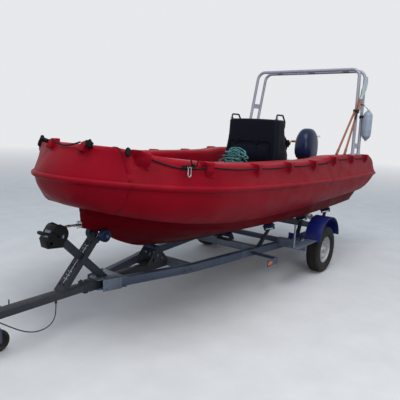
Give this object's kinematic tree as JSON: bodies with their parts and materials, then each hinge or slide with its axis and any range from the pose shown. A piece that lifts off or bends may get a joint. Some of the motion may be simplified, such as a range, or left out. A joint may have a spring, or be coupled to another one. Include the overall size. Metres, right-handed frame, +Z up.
{
  "type": "moulded rib-shaped boat on a road trailer",
  "caption": "Moulded open boat of RIB shape with console, arch and outboard engine, standing on a braced two-wheeled road trailer with winch and jockey wheel.",
  "frame": {"origin": "on the ground under the middle of the whole, boat and trailer together", "axes": "+X forward towards the bow and the coupling, +Y to port, +Z up"},
  "size_m": [6.01, 1.9766, 2.6089],
  "materials": {
    "shell_red": "moulded red shell with a soft shine",
    "knob_black": "black rubber",
    "line_black": "black braided line",
    "console_black": "blue-black matte moulding",
    "rail_steel": "polished tube",
    "seat_grey": "light grey vinyl",
    "arch_white": "white powder-coated tube",
    "fender_white": "pale soft vinyl, stained brown",
    "paddle_orange": "orange-brown shafts with pale blades",
    "webbing_black": "black webbing",
    "rope_teal": "teal laid rope",
    "cowl_blue": "navy blue-grey paint",
    "motor_grey": "blue-grey paint, scuffed",
    "prop_alloy": "worn alloy",
    "galvanised": "dull galvanised steel",
    "plate_pale": "newer galvanised plate",
    "tyre_black": "road tyre, dusty",
    "rim_grey": "silver-grey painted rim",
    "guard_blue": "blue moulded guard",
    "roller_blue": "blue roller",
    "winch_black": "black paint, chipped",
    "reflector_amber": "amber reflector",
    "lead_black": "black sheathed lead"
  },
  "bodies": {
    "root": {"hull": "shell_red", "collar_port": "shell_red", "collar_starboard": "shell_red", "nose": "shell_red", "deck": "shell_red", "lifeline_port": "line_black", "lifeline_starboard": "line_black", "lifeline_knobs": "knob_black", "transom": "shell_red", "towing_eyes": "rail_steel", "console": "console_black", "grab_rails": "rail_steel", "throttle": "knob_black", "seat_box": "shell_red", "seat_cushion": "seat_grey", "arch": "arch_white", "fender": "fender_white", "paddles": "paddle_orange", "lashing_straps": "webbing_black", "mooring_rope": "rope_teal", "motor_clamp": "motor_grey", "drawbar": "galvanised", "side_rails": "galvanised", "cross_members": "plate_pale", "axle": "galvanised", "mudguards": "guard_blue", "foot_plates": "galvanised", "marker_brackets": "galvanised", "side_reflectors": "reflector_amber", "coupling": "galvanised", "winch_post": "galvanised", "bow_post": "galvanised", "bow_rollers": "roller_blue", "winch_frame": "winch_black", "winch_strap": "webbing_black", "hull_rollers": "roller_blue", "roller_brackets": "galvanised", "jockey_tube": "galvanised", "lighting_lead": "lead_black", "lead_plug": "lead_black"},
    "wheel_port": {"tyre_port": "tyre_black", "rim_port": "rim_grey"},
    "wheel_starboard": {"tyre_starboard": "tyre_black", "rim_starboard": "rim_grey"},
    "jockey_leg": {"jockey_leg": "galvanised"},
    "jockey_fork": {"jockey_fork": "galvanised"},
    "jockey_wheel": {"jockey_wheel": "tyre_black"},
    "motor_swivel": {"motor_swivel": "motor_grey"},
    "motor": {"motor_cowl": "cowl_blue", "motor_leg": "motor_grey"},
    "propeller": {"propeller": "prop_alloy"},
    "helm": {"steering_wheel": "knob_black"},
    "console_hatch": {"console_hatch": "console_black"},
    "winch_drum": {"winch_drum": "winch_black"}
  },
  "joints": [
    {"name": "wheel_port_turn", "type": "hinge", "parent": "root", "child": "wheel_port", "pos_m": [-1.305, 0.865, 0.285], "axis": [0, 1, 0], "continuous": true},
    {"name": "wheel_starboard_turn", "type": "hinge", "parent": "root", "child": "wheel_starboard", "pos_m": [-1.305, -0.865, 0.285], "axis": [0, 1, 0], "continuous": true},
    {"name": "jockey_wind", "type": "slide", "parent": "root", "child": "jockey_leg", "axis": [0, 0, 1], "range_m": [0, 0.13]},
    {"name": "jockey_swivel", "type": "hinge", "parent": "jockey_leg", "child": "jockey_fork", "pos_m": [2.395, -0.115, 0.186], "axis": [0, 0, 1], "continuous": true},
    {"name": "jockey_turn", "type": "hinge", "parent": "jockey_fork", "child": "jockey_wheel", "pos_m": [2.36, -0.115, 0.085], "axis": [0, 1, 0], "continuous": true},
    {"name": "motor_tilt", "type": "hinge", "parent": "root", "child": "motor_swivel", "pos_m": [-2.337, 0, 1.15], "axis": [0, 1, 0], "range_deg": [0, 65]},
    {"name": "motor_steer", "type": "hinge", "parent": "motor_swivel", "child": "motor", "pos_m": [-2.5, 0, 1], "axis": [0, 0, 1], "range_deg": [-30, 30]},
    {"name": "propeller_turn", "type": "hinge", "parent": "motor", "child": "propeller", "pos_m": [-2.785, 0, 0.4], "axis": [1, 0, 0], "continuous": true},
    {"name": "helm_turn", "type": "hinge", "parent": "root", "child": "helm", "pos_m": [-1.305, 0.12, 1.56], "axis": [0.9063, 0, -0.4226], "range_deg": [-540, 540]},
    {"name": "hatch_open", "type": "hinge", "parent": "root", "child": "console_hatch", "pos_m": [-0.866, 0, 1.56], "axis": [0, -1, 0], "range_deg": [0, 100]},
    {"name": "winch_turn", "type": "hinge", "parent": "root", "child": "winch_drum", "pos_m": [1.955, 0, 0.85], "axis": [0, 1, 0], "continuous": true}
  ],
  "couplings": [
    {"joint": "helm_turn", "follows": "motor_steer", "ratio": 18}
  ]
}
